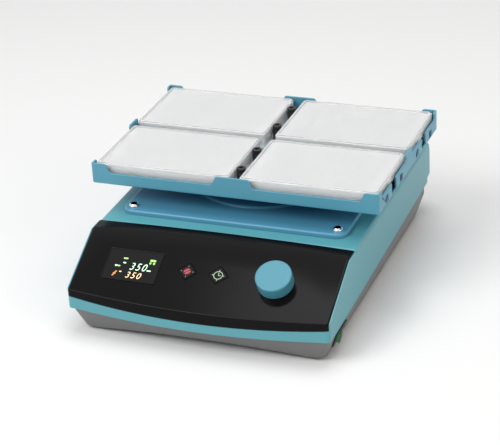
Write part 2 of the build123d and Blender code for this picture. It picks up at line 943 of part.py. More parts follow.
def microplate(x, y):
    """Plate with a flange round its foot, a step, and a grid of wells."""
    base = tray_floor
    flange = rounded_block(
        plate_length, plate_depth, plate_corner_radius, (base, base + plate_flange), x, y
    )
    upper = rounded_block(
        plate_length - 2 * plate_step, plate_depth - 2 * plate_step,
        plate_corner_radius - 1.0, (base + plate_flange, base + plate_height), x, y,
    )
    body = flange + upper
    hollow_top = base + plate_height - well_depth - plate_wall
    body -= rounded_block(
        plate_length - 2 * plate_step - 2 * plate_wall,
        plate_depth - 2 * plate_step - 2 * plate_wall,
        1.0, (base - 1, hollow_top), x, y,
    )
    top = base + plate_height
    wells = [
        Pos(
            x + (column - (well_columns - 1) / 2) * well_pitch,
            y + (row - (well_rows - 1) / 2) * well_pitch,
            top - well_depth / 2,
        ) * Box(well_side, well_side, well_depth)
        for column in range(well_columns)
        for row in range(well_rows)
    ]
    return body - wells


def plate_lid(x, y):
    """Loose lid: thin skirt outside the plate's wall, top with a raised stacking rim."""
    inside_length = plate_length - 2 * plate_step + 2 * lid_fit
    inside_depth = plate_depth - 2 * plate_step + 2 * lid_fit
    under = tray_floor + plate_height + lid_rest
    low = under - lid_skirt
    high = under + lid_top
    radius = plate_corner_radius
    body = rounded_block(
        inside_length + 2 * lid_wall, inside_depth + 2 * lid_wall, radius, (low, high), x, y
    )
    body -= rounded_block(inside_length, inside_depth, radius - 0.8, (low - 1, under), x, y)
    rim_length = inside_length + 2 * lid_wall - 2
    rim_depth = inside_depth + 2 * lid_wall - 2
    rim = rounded_block(rim_length, rim_depth, radius, (high, high + lid_rim), x, y)
    rim -= rounded_block(
        rim_length - 2 * lid_rim_width, rim_depth - 2 * lid_rim_width, radius - 1.5,
        (high - 0.01, high + lid_rim + 1), x, y,
    )
    return body + rim


def table_plate():
    plate = rounded_block(
        table_length, table_width, table_radius, (table_bottom, tray_bottom), y=tray_y
    )
    for x, y in post_places:
        plate -= rod(post_thread + 0.04, (tray_bottom - post_grip - 0.5, tray_bottom + 1), x, y)
    return plate


def idler_places():
    turn = 360 / idler_count
    return [
        (
            idler_radius * math.cos(math.radians(index * turn)),
            axis_y + idler_radius * math.sin(math.radians(index * turn)),
        )
        for index in range(idler_count)
    ]


def orbit_frame():
    """Plate under the deck, clamped to the hub, with sockets for the idler crank pins."""
    frame = rounded_block(
        frame_length, frame_width, frame_radius, (frame_bottom, frame_top), y=tray_y
    )
    for x in (-1, 1):
        for y in (-1, 1):
            frame -= rod(
                frame_hole_diameter, (frame_bottom - 1, frame_top + 1),
                x * (frame_length / 2 - frame_hole_inset),
                tray_y + y * (frame_width / 2 - frame_hole_inset),
            )
    frame -= rod(hub_diameter, (frame_bottom - 1, frame_top + 1), 0, tray_y)
    for x, y in idler_places():
        frame += rod(idler_boss_diameter, (frame_bottom, frame_top), x, y + orbit_radius)
        frame -= rod(
            idler_pin_diameter + 2 * idler_pin_clearance,
            (frame_bottom - 1, frame_bottom + idler_socket_depth), x, y + orbit_radius,
        )
    return frame


def table_hub():
    """Column from the orbit frame up to the table, bored for the eccentric pin."""
    hub = rod(hub_diameter, (frame_bottom, table_bottom), 0, tray_y)
    hub += rod(
        hub_diameter + 2 * hub_flange, (frame_top, frame_top + hub_flange_thickness), 0, tray_y
    )
    return hub - rod(
        pin_diameter + 2 * shaft_clearance, (frame_bottom - 1, pin_top + pin_top_gap), 0, tray_y
    )


def splash_guard():
    """Shallow cap on the hub that hangs over the deck's throat."""
    top = table_bottom - guard_top_gap
    cap = rod(guard_diameter, (top - guard_skirt, top), 0, tray_y)
    cap = chamfer(cap.edges().group_by(Axis.Z)[-1], guard_edge)
    cap -= rod(
        guard_diameter - 2 * guard_skin, (top - guard_skirt - 1, top - guard_skin), 0, tray_y
    )
    cap -= rod(hub_diameter, (top - 10, top + 1), 0, tray_y)
    return cap


def drive_chassis():
    plate = rounded_block(
        chassis_length, chassis_width, 8, (chassis_bottom, chassis_top), y=axis_y
    )
    plate -= rod(shaft_diameter + 6, (chassis_bottom - 1, chassis_top + 1), 0, axis_y)
    plate -= rod(motor_shaft_diameter + 4, (chassis_bottom - 1, chassis_top + 1), motor_x, axis_y)
    for x, y in idler_places():
        plate -= rod(
            idler_shaft_diameter + 2, (chassis_bottom - 1, chassis_top + 1), x, y
        )
    return plate


def bearing_housing():
    body = rod(bearing_diameter, (chassis_top, chassis_top + bearing_height), 0, axis_y)
    flange = rod(bearing_diameter + 14, (chassis_top, chassis_top + 4), 0, axis_y)
    bore = rod(
        shaft_diameter + 2 * shaft_clearance, (chassis_top - 1, web_bottom + 1), 0, axis_y
    )
    return body + flange - bore


def idler_bearings():
    bodies = []
    for x, y in idler_places():
        body = rod(idler_boss_diameter, (chassis_top, chassis_top + idler_boss_height), x, y)
        bore = rod(
            idler_shaft_diameter + 2 * shaft_clearance,
            (chassis_top - 1, chassis_top + idler_boss_height + 1), x, y,
        )
        bodies.append(body - bore)
    return Compound(children=bodies)


def idler_crank(place):
    """Small crank: shaft in its bearing, web, and a pin offset by the orbit."""
    x, y = place
    web_low = chassis_top + idler_boss_height + web_gap
    pin_high = frame_bottom + idler_socket_depth - 0.8
    shaft = rod(idler_shaft_diameter, (chassis_bottom, web_low), x, y)
    web = rod(idler_web_diameter, (web_low, web_low + idler_web_thickness), x, y)
    pin = rod(
        idler_pin_diameter, (web_low + idler_web_thickness, pin_high), x, y + orbit_radius
    )
    return shaft + web + pin


def eccentric_shaft():
    shaft = rod(shaft_diameter, (pulley_bottom - 1.5, web_bottom), 0, axis_y)
    web = rod(web_diameter, (web_bottom, web_bottom + web_thickness), 0, axis_y)
    pin = rod(pin_diameter, (web_bottom + web_thickness, pin_top), 0, tray_y)
    return shaft + web + pin


def drive_pulley():
    pulley = grooved_pulley(pulley_diameter, 0)
    return pulley - rod(shaft_diameter, (pulley_bottom - 1, pulley_top + 1), 0, axis_y)


def grooved_pulley(diameter, x):
    body = rod(diameter, (pulley_bottom, pulley_top), x, axis_y)
    rim = diameter + 2 * belt_gap + 2 * belt_thickness
    low = rod(rim, (pulley_bottom, pulley_bottom + pulley_flange), x, axis_y)
    high = rod(rim, (pulley_top - pulley_flange, pulley_top), x, axis_y)
    return body + low + high


def counterweight():
    """Part ring on the crank web, on the side away from the pin."""
    disc = rod(
        2 * counterweight_radius, (web_bottom, web_bottom + web_thickness), 0, axis_y
    )
    disc -= rod(web_diameter, (web_bottom - 1, web_bottom + web_thickness + 1), 0, axis_y)
    half = math.radians(counterweight_angle / 2)
    reach = 2 * counterweight_radius
    wedge_face = make_face(
        Polyline(
            (0, axis_y),
            (-reach * math.sin(half), axis_y - reach * math.cos(half)),
            (0, axis_y - 2 * reach),
            (reach * math.sin(half), axis_y - reach * math.cos(half)),
            close=True,
        )
    )
    wedge = extrude(Pos(0, 0, web_bottom - 1) * wedge_face, web_thickness + 2)
    return disc & wedge


def drive_motor():
    body = rod(motor_diameter, (chassis_top, chassis_top + motor_height), motor_x, axis_y)
    body = chamfer(body.edges().group_by(Axis.Z)[-1], motor_edge)
    body -= rod(
        motor_diameter - 2 * motor_wall,
        (chassis_top + motor_cap, chassis_top + motor_height - motor_cap), motor_x, axis_y,
    )
    return body - rod(
        motor_shaft_diameter + 2 * shaft_clearance,
        (chassis_top - 1, chassis_top + motor_height - motor_cap + 1), motor_x, axis_y,
    )


def motor_rotor():
    shaft = rod(
        motor_shaft_diameter, (pulley_bottom - 1.0, chassis_top + motor_height - motor_cap + 0.8),
        motor_x, axis_y,
    )
    core = rod(
        motor_diameter - 2 * (motor_wall + rotor_gap),
        (chassis_top + motor_cap + rotor_gap, chassis_top + motor_height - motor_cap - rotor_gap),
        motor_x, axis_y,
    )
    return shaft + core + grooved_pulley(motor_pulley_diameter, motor_x)


def drive_belt():
    """Flat belt about both pulleys, with its two straight runs."""
    big = pulley_diameter / 2 + belt_gap
    small = motor_pulley_diameter / 2 + belt_gap
    low = (pulley_bottom + pulley_top - belt_width) / 2

    def hull(extra):
        circles = [
            Pos(0, axis_y) * Circle(big + extra),
            Pos(motor_x, axis_y) * Circle(small + extra),
        ]
        edges = []
        for circle in circles:
            edges += circle.edges()
        return make_hull(edges)

    ring = hull(belt_thickness) - hull(0)
    return extrude(Pos(0, 0, low) * ring, belt_width)


def power_inlet():
    """Panel inlet: flange outside the wall, hollow body with three flat pins inside."""
    flange_face = Pos(inlet_x, inlet_face_y, inlet_centre_height)
    flange = flange_face * Pos(0, inlet_flange / 2, 0) * Box(
        inlet_flange_width, inlet_flange, inlet_flange_height
    )
    body = flange_face * Pos(0, -inlet_body_depth / 2, 0) * Box(
        inlet_width, inlet_body_depth, inlet_height
    )
    low_edges = [
        edge for edge in body.edges().filter_by(Axis.Y) if edge.center().Z < inlet_centre_height
    ]
    body = chamfer(low_edges, inlet_corner)
    cavity_back = inlet_flange - inlet_cavity_depth
    cavity = flange_face * Pos(0, (cavity_back + inlet_flange) / 2, 0) * Box(
        inlet_width - 2 * inlet_wall, inlet_cavity_depth, inlet_height - 2 * inlet_wall
    )
    low_edges = [
        edge for edge in cavity.edges().filter_by(Axis.Y) if edge.center().Z < inlet_centre_height
    ]
    cavity = chamfer(low_edges, inlet_corner - inlet_wall / 2)
    inlet = flange + body - cavity
    for x, z in ((-7, -2), (7, -2), (0, 2)):
        pin = flange_face * Pos(x, cavity_back + 7, z) * Box(2.0, 14, 4.0)
        inlet += pin
    for side in (-1, 1):
        hole = flange_face * Pos(side * inlet_screw_pitch / 2, 0, 0) * Rot(90, 0, 0)
        inlet -= hole * Cylinder(1.7, 10)
    return inlet


def switch_housing():
    """Bezel of the mains switch with its open body behind the wall."""
    bezel = switch_frame(switch_flange / 2) * Box(switch_length, switch_width, switch_flange)
    body = switch_frame(-switch_body_depth / 2) * Box(
        switch_body_length, switch_body_width, switch_body_depth
    )
    well_depth_here = switch_body_depth - 5
    well = switch_frame(switch_flange - well_depth_here / 2) * Box(
        rocker_length + 2 * rocker_gap, rocker_width + 2 * rocker_gap, well_depth_here
    )
    pivot = switch_frame() * Rot(90, 0, 0) * Cylinder(
        rocker_pin_diameter / 2 + shaft_clearance, 2 * switch_body_width
    )
    return bezel + body - well - pivot


def switch_rocker():
    """Rocker with two flats meeting in a shallow vee, at rest with its front end out."""
    half = rocker_length / 2 - rocker_end_gap
    middle = switch_flange + rocker_rise
    end = middle + half * math.tan(math.radians(rocker_vee))
    face = make_face(
        Polyline(
            (-half, -rocker_shoulder), (-half, end), (0, middle), (half, end),
            (half, -rocker_shoulder), (0, -rocker_keel), close=True,
        )
    )
    body = extrude(Plane.XZ * face, rocker_width / 2, both=True)
    body += Rot(90, 0, 0) * Cylinder(
        rocker_pin_diameter / 2, switch_body_width - 2 * rocker_pin_inset
    )
    return switch_frame() * Rot(0, rocker_tilt, 0) * body


def power_supply():
    board = box(
        (supply_x - supply_length / 2, supply_x + supply_length / 2),
        (supply_y - supply_width / 2, supply_y + supply_width / 2),
        (base_floor_top + 4, base_floor_top + 5.6),
    )
    transformer = box(
        (supply_x - 30, supply_x), (supply_y - 16, supply_y + 16),
        (base_floor_top + 5.6, base_floor_top + supply_height),
    )
    heatsink = box(
        (supply_x + 12, supply_x + 16), (supply_y - 20, supply_y + 20),
        (base_floor_top + 5.6, base_floor_top + supply_height - 4),
    )
    capacitor = rod(
        12, (base_floor_top + 5.6, base_floor_top + supply_height - 6), supply_x + 28, supply_y
    )
    legs = [
        rod(
            5, (base_floor_top, base_floor_top + 4),
            supply_x + x * (supply_length / 2 - 4), supply_y + y * (supply_width / 2 - 4),
        )
        for x in (-1, 1)
        for y in (-1, 1)
    ]
    supply = board + transformer + heatsink + capacitor
    for leg in legs:
        supply += leg
    return supply


def write(name, shape):
    export_step(shape, f"parts/{name}.step")


os.makedirs("parts", exist_ok=True)
write("base_shell", base_shell())
write("rubber_feet", rubber_feet())
write("top_cover", top_cover())
write("deck_plate", deck_plate())
write("deck_screws", deck_screws())
write("front_panel", front_panel())
write("display_window", display_window())
write("display_module", display_module())
write("control_board", control_board())
write("start_key", key_cap(start_key_x))
write("timer_key", key_cap(timer_key_x))
write("key_switches", key_switches())
write("encoder_body", encoder_body())
write("knob_shaft", knob_shaft())
write("control_knob", control_knob())
write("switch_housing", switch_housing())
write("switch_rocker", switch_rocker())
write("power_inlet", power_inlet())
write("power_supply", power_supply())
write("drive_chassis", drive_chassis())
write("bearing_housing", bearing_housing())
write("idler_bearings", idler_bearings())
write("drive_motor", drive_motor())
write("motor_rotor", motor_rotor())
write("drive_belt", drive_belt())
write("eccentric_shaft", eccentric_shaft())
write("drive_pulley", drive_pulley())
write("counterweight", counterweight())
for number, place in enumerate(idler_places(), 1):
    write(f"idler_crank_{number}", idler_crank(place))
write("orbit_frame", orbit_frame())
write("table_hub", table_hub())
write("splash_guard", splash_guard())
write("table_plate", table_plate())
write("tray", tray())
write("post_sleeves", post_sleeves())
write("post_screws", post_screws())
for number, (side, y) in enumerate(spring_centres, 1):
    write(f"clamp_spring_{number}", clamp_spring(side, y))
for number, (x, y) in enumerate(plate_centres, 1):
    write(f"microplate_{number}", microplate(x, y))
    write(f"plate_lid_{number}", plate_lid(x, y))
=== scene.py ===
import json
import math

import bmesh
import bpy
from mathutils import Matrix, Vector


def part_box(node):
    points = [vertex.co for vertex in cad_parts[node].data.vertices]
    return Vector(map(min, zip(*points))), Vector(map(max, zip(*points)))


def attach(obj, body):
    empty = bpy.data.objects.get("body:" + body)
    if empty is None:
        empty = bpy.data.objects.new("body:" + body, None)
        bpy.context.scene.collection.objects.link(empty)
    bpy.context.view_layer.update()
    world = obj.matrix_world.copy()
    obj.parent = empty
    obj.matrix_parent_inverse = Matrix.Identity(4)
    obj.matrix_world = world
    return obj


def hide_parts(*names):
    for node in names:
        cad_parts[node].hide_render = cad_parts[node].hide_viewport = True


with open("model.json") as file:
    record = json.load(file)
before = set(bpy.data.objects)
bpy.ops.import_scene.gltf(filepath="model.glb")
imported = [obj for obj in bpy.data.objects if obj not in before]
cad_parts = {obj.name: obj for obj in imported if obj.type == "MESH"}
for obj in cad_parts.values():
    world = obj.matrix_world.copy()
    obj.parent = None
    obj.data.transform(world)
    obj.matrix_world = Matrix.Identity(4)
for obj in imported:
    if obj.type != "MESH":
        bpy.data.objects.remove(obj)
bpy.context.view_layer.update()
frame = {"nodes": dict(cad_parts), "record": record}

# Base tub
# The grey lower half is one moulding in fine-grained grey plastic. It stands in from the teal
# cover, tapers towards the bench, and carries everything inside the housing.
cloud_scale = 22.0
relief_height = 0.0002
merge_distance = 0.00001
flat_angle = math.radians(0.4)
sharp_angle = math.radians(32)


def math_node(nodes, operation, constants=()):
    """A Math node with some of its inputs set."""
    node = nodes.new("ShaderNodeMath")
    node.operation = operation
    for index, value in constants:
        node.inputs[index].default_value = value
    return node


def surface_group():
    """Fine grain for every moulded or painted face: colour, roughness and relief."""
    group = bpy.data.node_groups.new("fine_surface", "ShaderNodeTree")
    for name, kind, value in (
        ("Colour", "NodeSocketColor", (0.5, 0.5, 0.5, 1.0)),
        ("Shade spread", "NodeSocketFloat", 0.05),
        ("Grain", "NodeSocketFloat", 900.0),
        ("Roughness", "NodeSocketFloat", 0.4),
        ("Roughness spread", "NodeSocketFloat", 0.08),
        ("Relief", "NodeSocketFloat", 0.1),
    ):
        socket = group.interface.new_socket(name=name, in_out="INPUT", socket_type=kind)
        socket.default_value = value
    for name, kind in (
        ("Colour", "NodeSocketColor"), ("Roughness", "NodeSocketFloat"),
        ("Normal", "NodeSocketVector"),
    ):
        group.interface.new_socket(name=name, in_out="OUTPUT", socket_type=kind)
    nodes, links = group.nodes, group.links
    given = nodes.new("NodeGroupInput")
    result = nodes.new("NodeGroupOutput")
    place = nodes.new("ShaderNodeTexCoord")
    grain = nodes.new("ShaderNodeTexNoise")
    grain.inputs["Detail"].default_value = 3.0
    cloud = nodes.new("ShaderNodeTexNoise")
    cloud.inputs["Scale"].default_value = cloud_scale
    cloud.inputs["Detail"].default_value = 4.0
    links.new(place.outputs["Object"], grain.inputs["Vector"])
    links.new(place.outputs["Object"], cloud.inputs["Vector"])
    links.new(given.outputs["Grain"], grain.inputs["Scale"])
    centred = math_node(nodes, "SUBTRACT", [(1, 0.5)])
    shade = math_node(nodes, "MULTIPLY_ADD", [(2, 1.0)])
    tone = nodes.new("ShaderNodeHueSaturation")
    links.new(cloud.outputs["Fac"], centred.inputs[0])
    links.new(centred.outputs[0], shade.inputs[0])
    links.new(given.outputs["Shade spread"], shade.inputs[1])
    links.new(given.outputs["Colour"], tone.inputs["Color"])
    links.new(shade.outputs[0], tone.inputs["Value"])
    links.new(tone.outputs["Color"], result.inputs["Colour"])
    fine = math_node(nodes, "SUBTRACT", [(1, 0.5)])
    gloss = math_node(nodes, "MULTIPLY_ADD")
    links.new(grain.outputs["Fac"], fine.inputs[0])
    links.new(fine.outputs[0], gloss.inputs[0])
    links.new(given.outputs["Roughness spread"], gloss.inputs[1])
    links.new(given.outputs["Roughness"], gloss.inputs[2])
    links.new(gloss.outputs[0], result.inputs["Roughness"])
    bump = nodes.new("ShaderNodeBump")
    bump.inputs["Distance"].default_value = relief_height
    links.new(given.outputs["Relief"], bump.inputs["Strength"])
    links.new(grain.outputs["Fac"], bump.inputs["Height"])
    links.new(bump.outputs["Normal"], result.inputs["Normal"])
    return group


fine_surface = surface_group()


def finish(name, colour, roughness, spread=0.05, grain=900.0, rough_spread=0.08, relief=0.1,
           glow=0.0, shader_values=None):
    """A material whose colour, gloss and relief all vary a little over the surface."""
    material = bpy.data.materials.new(name)
    material.use_nodes = True
    nodes, links = material.node_tree.nodes, material.node_tree.links
    shader = nodes["Principled BSDF"]
    fine = nodes.new("ShaderNodeGroup")
    fine.node_tree = fine_surface
    for socket, value in (
        ("Colour", (*colour, 1.0)), ("Shade spread", spread), ("Grain", grain),
        ("Roughness", roughness), ("Roughness spread", rough_spread), ("Relief", relief),
    ):
        fine.inputs[socket].default_value = value
    links.new(fine.outputs["Colour"], shader.inputs["Base Color"])
    links.new(fine.outputs["Roughness"], shader.inputs["Roughness"])
    links.new(fine.outputs["Normal"], shader.inputs["Normal"])
    if glow:
        links.new(fine.outputs["Colour"], shader.inputs["Emission Color"])
        shader.inputs["Emission Strength"].default_value = glow
    for socket, value in (shader_values or {}).items():
        shader.inputs[socket].default_value = value
    return material


def show(name, shape, material, body, nodes=()):
    """Makes a bmesh a piece of the object, with its material and body."""
    mesh = bpy.data.meshes.new(name)
    shape.to_mesh(mesh)
    shape.free()
    stale = mesh.attributes.get("custom_normal")
    if stale:
        mesh.attributes.remove(stale)
    mesh.materials.clear()
    mesh.materials.append(material)
    for face in mesh.polygons:
        face.material_index = 0
    mesh.shade_smooth()
    mesh.set_sharp_from_angle(angle=sharp_angle)
    piece = bpy.data.objects.new(name, mesh)
    bpy.context.scene.collection.objects.link(piece)
    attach(piece, body)
    if nodes:
        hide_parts(*nodes)
    return piece


def whole_shape(node):
    """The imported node's shape with its loose triangles joined into whole faces."""
    shape = bmesh.new()
    shape.from_mesh(frame["nodes"][node].data)
    bmesh.ops.remove_doubles(shape, verts=shape.verts, dist=merge_distance)
    bmesh.ops.dissolve_limit(
        shape, angle_limit=flat_angle, verts=shape.verts, edges=shape.edges
    )
    return shape


body_of = {
    node: body for body, nodes in frame["record"]["behaviour"]["bodies"].items() for node in nodes
}


def dress(node, material, edge=0.0, segments=2, clamp=False):
    """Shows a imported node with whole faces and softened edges, held back where they crowd."""
    piece = show(f"{node}_shown", whole_shape(node), material, body_of[node], [node])
    if edge:
        bevel = piece.modifiers.new("edges", "BEVEL")
        bevel.width = edge
        bevel.segments = segments
        bevel.limit_method = "ANGLE"
        bevel.angle_limit = sharp_angle
        bevel.use_clamp_overlap = clamp
        bevel.harden_normals = True
    return piece


grey_plastic = finish("grey_plastic", (0.165, 0.165, 0.168), 0.5, grain=1400.0, relief=0.22)
dress("base_shell", grey_plastic, edge=0.0008, segments=3, clamp=True)

# Feet
# Four short rubber feet pressed into the underside of the tub.
foot_rubber = finish("foot_rubber", (0.03, 0.03, 0.03), 0.7, relief=0.3)
dress("rubber_feet", foot_rubber, edge=0.0006)

# Cover
# The teal upper half is a folded and painted shell: flat top, sloping cheeks beside the panel, a
# curved strip under it, and a back that leans out over the inlet.
teal_paint = finish(
    "teal_paint", (0.092, 0.335, 0.390), 0.34, grain=700.0, relief=0.06, spread=0.04
)
dress("top_cover", teal_paint, edge=0.0006, segments=3, clamp=True)

# Deck plate and screws
# A raised painted plate with round corners closes the cover under the tray. A round collar keeps
# spills from the hub. Four zinc pan-head screws hold it at its corners.
deck_paint = finish("deck_paint", (0.078, 0.285, 0.430), 0.36, grain=700.0, relief=0.06)
dress("deck_plate", deck_paint, edge=0.0005)
screw_zinc = finish(
    "screw_zinc", (0.68, 0.69, 0.70), 0.24, relief=0.05, shader_values={"Metallic": 1.0}
)
dress("deck_screws", screw_zinc, edge=0.0003)

# Front panel
# A glossy black moulding follows the brow, the slope and the bowed lip of the housing.
panel_black = finish(
    "panel_black", (0.0042, 0.0036, 0.0042), 0.15, spread=0.2, relief=0.012, rough_spread=0.04,
    shader_values={"Specular IOR Level": 0.10},
)
dress("front_panel", panel_black, edge=0.0008, segments=3)

# Display
# A thin dark window lies flush in the panel. Plain numerals, dashes and two small signs light up
# behind it: green-white above, amber below.
knob_joint = next(
    joint for joint in frame["record"]["behaviour"]["joints"] if joint["name"] == "knob_turn"
)
panel_normal = Vector(knob_joint["axis"]).normalized()
panel_right = Vector((1, 0, 0))
panel_rise = panel_normal.cross(panel_right)
glass_thickness = 0.0015
glass_low, glass_high = (Vector(corner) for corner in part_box("display_window"))
glass_centre = (glass_low + glass_high) / 2 + panel_normal * glass_thickness / 2
print_lift = 0.00004
print_depth = 0.00006
shown_number = "350"
numeral_lean = 0.22
numeral_spacing = 1.25
screen_black = finish(
    "screen_black", (0.006, 0.006, 0.0065), 0.1, relief=0.0, rough_spread=0.02,
    shader_values={"Specular IOR Level": 0.2},
)
dress("display_window", screen_black)


def lay_on_panel(shape, centre):
    """Thickens flat work drawn about the origin and lays it on the panel at a point."""
    solid = bmesh.ops.extrude_face_region(shape, geom=shape.faces[:])
    raised = [item for item in solid["geom"] if isinstance(item, bmesh.types.BMVert)]
    bmesh.ops.translate(shape, vec=(0, 0, print_depth), verts=raised)
    bmesh.ops.recalc_face_normals(shape, faces=shape.faces)
    turn = Matrix((panel_right, panel_rise, panel_normal)).transposed().to_4x4()
    seat = Matrix.Translation(centre + panel_normal * print_lift)
    bmesh.ops.transform(shape, matrix=seat @ turn, verts=shape.verts)
    return shape


def numerals(words, height, width, centre):
    """Plain leaning numerals of one height, set about a point of the flat drawing."""
    text = bpy.data.curves.new("numerals", "FONT")
    text.body = words
    text.shear = numeral_lean
    text.space_character = numeral_spacing
    text.resolution_u = 3
    holder = bpy.data.objects.new("numerals", text)
    flat = bpy.data.meshes.new_from_object(holder)
    shape = bmesh.new()
    shape.from_mesh(flat)
    bpy.data.objects.remove(holder)
    bpy.data.meshes.remove(flat)
    bmesh.ops.remove_doubles(shape, verts=shape.verts, dist=merge_distance)
    xs = [vert.co.x for vert in shape.verts]
    ys = [vert.co.y for vert in shape.verts]
    middle = Vector(((min(xs) + max(xs)) / 2, (min(ys) + max(ys)) / 2, 0))
    bmesh.ops.translate(shape, vec=-middle, verts=shape.verts)
    size = (width / (max(xs) - min(xs)), height / (max(ys) - min(ys)), 1)
    bmesh.ops.scale(shape, vec=size, verts=shape.verts)
    bmesh.ops.translate(shape, vec=(*centre, 0), verts=shape.verts)
    return shape


def add_dashes(shape, dashes):
    """Adds flat bars with rounded ends, each given by its centre, length, width and turn."""
    for x, y, length, width, turn in dashes:
        spot = Matrix.Translation((x, y, 0)) @ Matrix.Rotation(math.radians(turn), 4, "Z")
        corners = bmesh.ops.create_grid(
            shape, x_segments=1, y_segments=1, size=0.5,
            matrix=spot @ Matrix.Diagonal((length, width, 1, 1)),
        )["verts"]
        bmesh.ops.bevel(
            shape, geom=corners, offset=width * 0.45, segments=3, profile=0.5, material=-1,
            affect="VERTICES",
        )
    return shape


def add_print(name, shape, centre, material, node):
    """Lays flat work on the panel as a print that belongs to one node."""
    show(name, lay_on_panel(shape, centre), material, body_of[node])


screen_green = finish("screen_green", (0.52, 0.80, 0.55), 0.4, relief=0.0, glow=0.85)
screen_amber = finish("screen_amber", (0.85, 0.62, 0.36), 0.4, relief=0.0, glow=0.75)
screen_lime = finish("screen_lime", (0.30, 0.58, 0.16), 0.4, relief=0.0, glow=0.8)
screen_orange = finish("screen_orange", (0.80, 0.26, 0.07), 0.4, relief=0.0, glow=0.75)
for name, shape, material, dashes in (
    ("upper_digits", numerals(shown_number, 0.0076, 0.0155, (0.0060, -0.0004)), screen_green, (
        (0.0162, -0.0031, 0.0040, 0.0012, 0), (-0.0082, 0.0024, 0.0028, 0.0014, 0),
        (-0.0150, -0.0013, 0.0026, 0.0017, 0),
    )),
    ("lower_digits", numerals(shown_number, 0.0064, 0.0142, (0.0040, -0.0095)), screen_amber, (
        (-0.0092, -0.0071, 0.0023, 0.0011, 0),
    )),
    ("green_signs", bmesh.new(), screen_lime, (
        (-0.0085, 0.0070, 0.0044, 0.0016, 0), (-0.0124, -0.0014, 0.0024, 0.0014, 0),
        (0.0170, 0.0078, 0.0056, 0.0022, 0), (0.0152, 0.0050, 0.0020, 0.0030, 0),
        (0.0187, 0.0050, 0.0020, 0.0030, 0),
    )),
    ("orange_sign", bmesh.new(), screen_orange, (
        (-0.0136, -0.0081, 0.0032, 0.0011, 58), (-0.0148, -0.0109, 0.0032, 0.0011, 58),
        (-0.0142, -0.0095, 0.0026, 0.0009, 0),
    )),
):
    add_print(name, add_dashes(shape, dashes), glass_centre, material, "display_window")

# Keys
# Two square keys stand on their corners, flush with the panel. One has two red bars, the other a
# pale green clock face, both printed on the key's film. The bars and the clock face carry a faint
# painted glow, and a dark red disc round the bars is painted glow on the black key.
key_black = finish(
    "key_black", (0.0035, 0.003, 0.003), 0.18, relief=0.02,
    shader_values={"Specular IOR Level": 0.14},
)
# The red bars and the pale clock face are prints; their small emission is painted glow.
key_red = finish("key_red", (0.55, 0.05, 0.07), 0.4, relief=0.0, glow=0.25)
key_painted_glow = finish("key_painted_glow", (0.085, 0.004, 0.008), 0.35, relief=0.0)
key_tick = finish("key_tick", (0.22, 0.19, 0.19), 0.4, relief=0.0)
key_pale = finish("key_pale", (0.42, 0.56, 0.40), 0.4, relief=0.0, glow=0.15)
disc_radius = 0.0036
clock_radius = 0.0039
clock_line = 0.0006
clock_sides = 40
start_tick_reach = 0.0052
timer_tick_reach = 0.0049
tick_length = 0.0014
tick_width = 0.0007
dress("start_key", key_black)
dress("timer_key", key_black)


def key_middle(node):
    """Centre of a key's face, half a diagonal down the panel from its top corner."""
    low, high = (Vector(corner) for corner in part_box(node))
    down = (glass_centre.z - high.z) / panel_rise.z + (high.x - low.x) / 2
    place = glass_centre - panel_rise * down
    place.x = (low.x + high.x) / 2
    return place


def clock_ring():
    """The flat ring of the clock, about the origin."""
    shape = bmesh.new()
    for edge in (-clock_line / 2, clock_line / 2):
        bmesh.ops.create_circle(shape, segments=clock_sides, radius=clock_radius + edge)
    bmesh.ops.bridge_loops(shape, edges=shape.edges[:])
    return shape


def ticks(reach):
    """Four short marks round a key's face."""
    angles = [math.radians(quarter) for quarter in (0, 90, 180, 270)]
    return [
        (reach * math.cos(angle), reach * math.sin(angle), tick_length, tick_width,
         math.degrees(angle))
        for angle in angles
    ]


start_place = key_middle("start_key")
# This dark red disc round the bars is painted glow on the black key, not a print.
glow_disc = bmesh.new()
bmesh.ops.create_circle(glow_disc, segments=32, radius=disc_radius, cap_ends=True)
add_print("start_key_painted_glow", glow_disc, start_place, key_painted_glow, "start_key")
bars = add_dashes(bmesh.new(), (
    (-0.0008, 0.0010, 0.0050, 0.0013, 40), (0.0008, -0.0010, 0.0050, 0.0013, 40),
))
add_print("start_key_bars", bars, start_place + panel_normal * print_depth, key_red, "start_key")
start_ticks = add_dashes(bmesh.new(), ticks(start_tick_reach))
add_print("start_key_ticks", start_ticks, start_place, key_tick, "start_key")
clock_marks = ticks(timer_tick_reach) + [
    (0.0001, 0.0013, 0.0030, clock_line, 96), (0.0012, -0.0001, 0.0026, clock_line, 0),
]
add_print("timer_key_clock", add_dashes(clock_ring(), clock_marks), key_middle("timer_key"),
          key_pale, "timer_key")

# Knob
# A solid turned knob with a bright cut edge round its flat top, on a steel shaft.
knob_teal = finish("knob_teal", (0.068, 0.275, 0.365), 0.36, grain=800.0, relief=0.04)
dress("control_knob", knob_teal, edge=0.0003, segments=3)
inner_steel = finish(
    "inner_steel", (0.55, 0.55, 0.56), 0.35, relief=0.08, shader_values={"Metallic": 1.0}
)
dress("knob_shaft", inner_steel)

# Mains switch
# A black bezel snapped into the leaning right wall, with a green rocker in it.
black_plastic = finish("black_plastic", (0.018, 0.018, 0.019), 0.42, relief=0.12)
dress("switch_housing", black_plastic)
rocker_green = finish(
    "rocker_green", (0.018, 0.16, 0.050), 0.25, relief=0.03,
    shader_values={"Coat Weight": 0.4, "Coat Roughness": 0.1},
)
dress("switch_rocker", rocker_green)

# Mains inlet
# A black inlet in an upright flat of the rear wall, with three flat contact pins in its socket.
dress("power_inlet", black_plastic)

